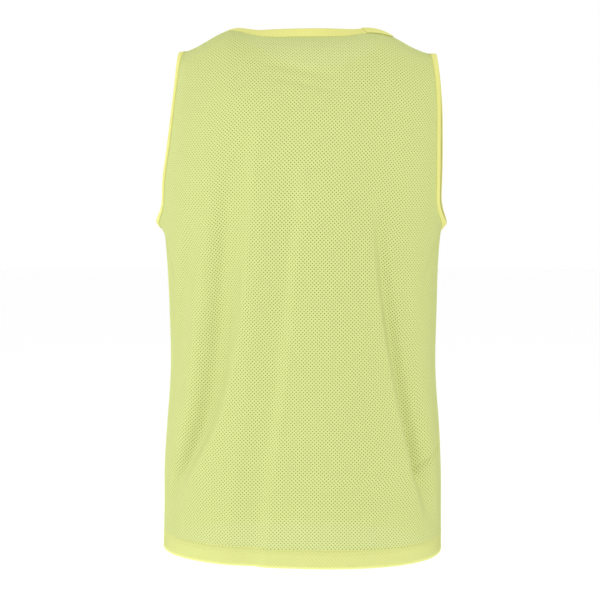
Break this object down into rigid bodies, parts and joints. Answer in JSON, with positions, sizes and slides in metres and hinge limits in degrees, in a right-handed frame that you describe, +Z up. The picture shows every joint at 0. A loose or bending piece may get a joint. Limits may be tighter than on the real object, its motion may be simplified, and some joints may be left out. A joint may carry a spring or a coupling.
{
  "type": "mesh training bib",
  "caption": "Sleeveless mesh training bib, filled out and hollow, with folds, bound neck and armholes and a deep hem, open at neck, arms and hem",
  "frame": {"origin": "between the shoulders, at the height where the shoulders carry the bib, midway from front to back", "axes": "+Z up, the garment's front faces +Y and its back, which the picture shows, faces -Y, +X is the wearer's right"},
  "size_m": [0.394, 0.2619, 0.701],
  "materials": {
    "mesh_cloth": "fluorescent yellow-green polyester mesh knit with small round holes",
    "hem_cloth": "the same mesh knit, turned up double and stitched",
    "binding": "plain close-knit polyester strip, folded over the edge and stitched"
  },
  "bodies": {
    "root": {"back_panel": "mesh_cloth", "front_panel": "mesh_cloth", "back_hem": "hem_cloth", "front_hem": "hem_cloth", "neck_binding": "binding", "left_armhole_binding": "binding", "right_armhole_binding": "binding"}
  },
  "joints": []
}
